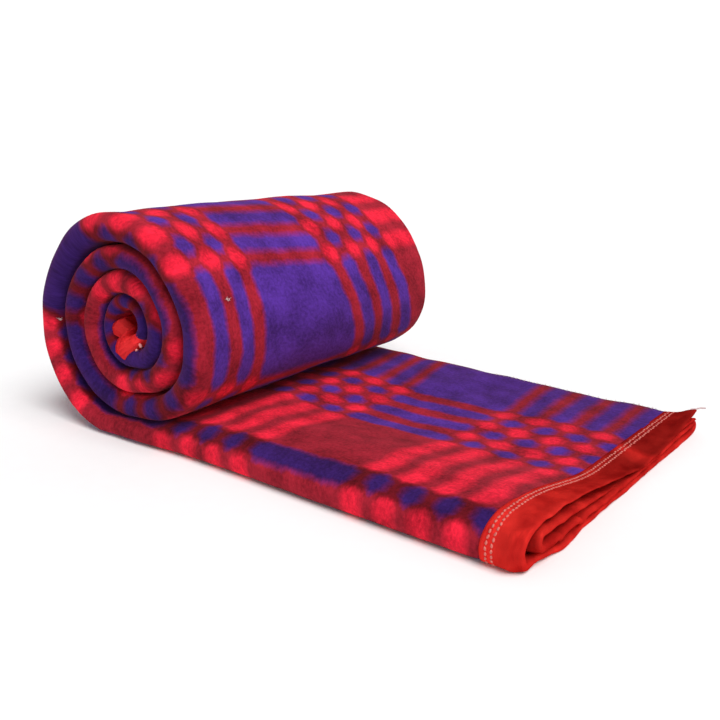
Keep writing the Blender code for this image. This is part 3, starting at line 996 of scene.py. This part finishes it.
def satin(name, dark, light, crumple):
    """Red satin tape in two shades of dye; crumple is how strongly its small facets show."""
    material, tree = new_material(name)
    uv = add(tree, "ShaderNodeUVMap", uv_map="threads").outputs["UV"]
    long_way = add(tree, "ShaderNodeMapping", {"Vector": uv, "Scale": FLOAT_SCALE})
    floats = noise(tree, long_way.outputs["Vector"], 1.0, 2.0)
    creases = noise(tree, uv, 38.0, 2.0)
    facets = add(tree, "ShaderNodeTexVoronoi", {"Vector": uv, "Scale": 62.0}, feature="F1")
    height = calc(tree, "MULTIPLY_ADD", creases, 9.0, floats)
    height = calc(tree, "MULTIPLY_ADD", facets.outputs["Distance"], crumple, height)
    split = add(tree, "ShaderNodeSeparateXYZ", {"Vector": uv})
    # painted light and shade: the tape is darker far along it and lighter on one ridge
    painted_light_along = ramp(tree, split.outputs["Y"], [(where, grey(value)) for where, value in PAINTED_LIGHT_ALONG])
    colour = tinted(tree, two_tone(tree, creases, dark, light, DYE_ENDS), painted_light_along)
    # painted highlight: the tape is brighter where it is sewn down
    colour = tinted(tree, colour, mapped(tree, split.outputs["X"], SEWN_PAINTED_HIGHLIGHT, (1.3, 1.0)))
    # the shine of dyed filament is red, also where it is seen at a low angle
    surface(tree, {"Base Color": colour, "Normal": bumped(tree, height, 0.7, 0.0007), "Metallic": 0.22,
                   "Roughness": 0.42, "Specular IOR Level": 0.0, "Specular Tint": linear("#FF5A48")})
    return material


def stitch_thread(name, dark, light):
    """Pale spun thread."""
    material, tree = new_material(name)
    place = add(tree, "ShaderNodeTexCoord").outputs["Object"]
    ply = noise(tree, place, 900.0, 2.0)
    surface(tree, {"Base Color": two_tone(tree, ply, dark, light, DYE_ENDS),
                   "Normal": bumped(tree, ply, 0.3, 0.0004), "Roughness": 0.6})
    return material


def plain(name, scale, dark, light):
    """A dull material in two close shades."""
    material, tree = new_material(name)
    place = add(tree, "ShaderNodeTexCoord").outputs["Object"]
    shade = two_tone(tree, noise(tree, place, scale, 2.0), dark, light)
    surface(tree, {"Base Color": shade, "Roughness": 0.9})
    return material


pile, fluff = brushed_pile(), plain("pale_wool_lint", 700.0, "#B8949C", "#F0DCD8")
thread = stitch_thread("end_polyester_thread", "#C0504A", "#DE7E72")
# the thread in the core is a paler copy of the same thread: painted light, for the two stitches that stand
# in shade
lit_core_thread = stitch_thread("lit_pale_polyester_thread", "#E07C7C", "#FFB4B0")
tape_satin = satin("red_polyester_satin", "#AC1C1A", "#DC302A", 1.0)
# the core tape is a lighter copy of the same satin: painted light, since it stands in the light
lit_core_satin = satin("crumpled_lit_polyester_satin", "#C8242C", "#EC3A3A", 9.0)
for piece, material in ((cloth, pile), (end_tape, tape_satin), (core_tape, lit_core_satin),
                        (end_stitches, thread), (core_stitches, lit_core_thread), (fibres, fluff)):
    piece.data.materials.append(material)
print("materials:", pile.name, tape_satin.name, lit_core_satin.name, thread.name, lit_core_thread.name, fluff.name)

# %% [markdown]
# ## Standing for the solids
#
# Each piece is attached to the root body, which it moves with, and the solids of the cloth and the two tapes
# are hidden.

for piece in (cloth, end_tape, core_tape, end_stitches, core_stitches, fibres):
    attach(piece, "root")
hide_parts("blanket_cloth")
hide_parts("end_binding")
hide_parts("core_binding")

# %% [markdown]
# ## Floor and light
#
# A pale floor in a pale room, with one large soft light high up and a little to the right, as in a small
# product studio. An area light would leave a bright pool on the floor, and the photograph's ground is
# evenly white, so a sun as wide as a softbox was chosen instead.

# %% Floor and lights
FLOOR_HALF = 60.0
FLOOR_DROP = 0.0004
SUN_TOWARDS = (0.49, -0.15, 0.86)
SUN_SPREAD = 42.0
SUN_STRENGTH = 2.85
# height of the view ray and brightness: the white walls, and the dimmer ceiling
WALLS = (0.13, 1.0)
CEILING = (0.34, 0.24)
ROOM_STRENGTH = 1.3


def make_floor():
    """A plain pale floor."""
    bm = bmesh.new()
    bmesh.ops.create_grid(bm, x_segments=1, y_segments=1, size=FLOOR_HALF)
    floor = put("floor", as_mesh("floor", bm))
    floor.location = (0.0, 0.0, -FLOOR_DROP)
    floor.data.materials.append(plain("pale_paper_floor", 60.0, "#F5F5F5", "#F8F8F8"))
    return floor


def soft_sun():
    """A distant light as wide as a large softbox, so that the floor is lit evenly."""
    data = bpy.data.lights.new("key", "SUN")
    data.angle = math.radians(SUN_SPREAD)
    data.energy = SUN_STRENGTH
    put("key", data).rotation_euler = Vector(SUN_TOWARDS).to_track_quat("Z", "Y").to_euler()


def pale_room():
    """White walls round the floor, and a dimmer ceiling."""
    world = bpy.data.worlds.new("pale_room")
    world.use_nodes = True
    tree = world.node_tree
    place = add(tree, "ShaderNodeTexCoord")
    split = add(tree, "ShaderNodeSeparateXYZ", {"Vector": place.outputs["Generated"]})
    room = ramp(tree, split.outputs["Z"], [(height, grey(value)) for height, value in (WALLS, CEILING)])
    background = tree.nodes["Background"]
    background.inputs["Strength"].default_value = ROOM_STRENGTH
    tree.links.new(room, background.inputs["Color"])
    bpy.context.scene.world = world


make_floor()
soft_sun()
pale_room()
bpy.context.scene.view_settings.view_transform = "Standard"

# %% Boxes as plain numbers
def corners(box):
    """A box as plain lists of numbers."""
    return [[round(float(v), 5) for v in corner] for corner in box]
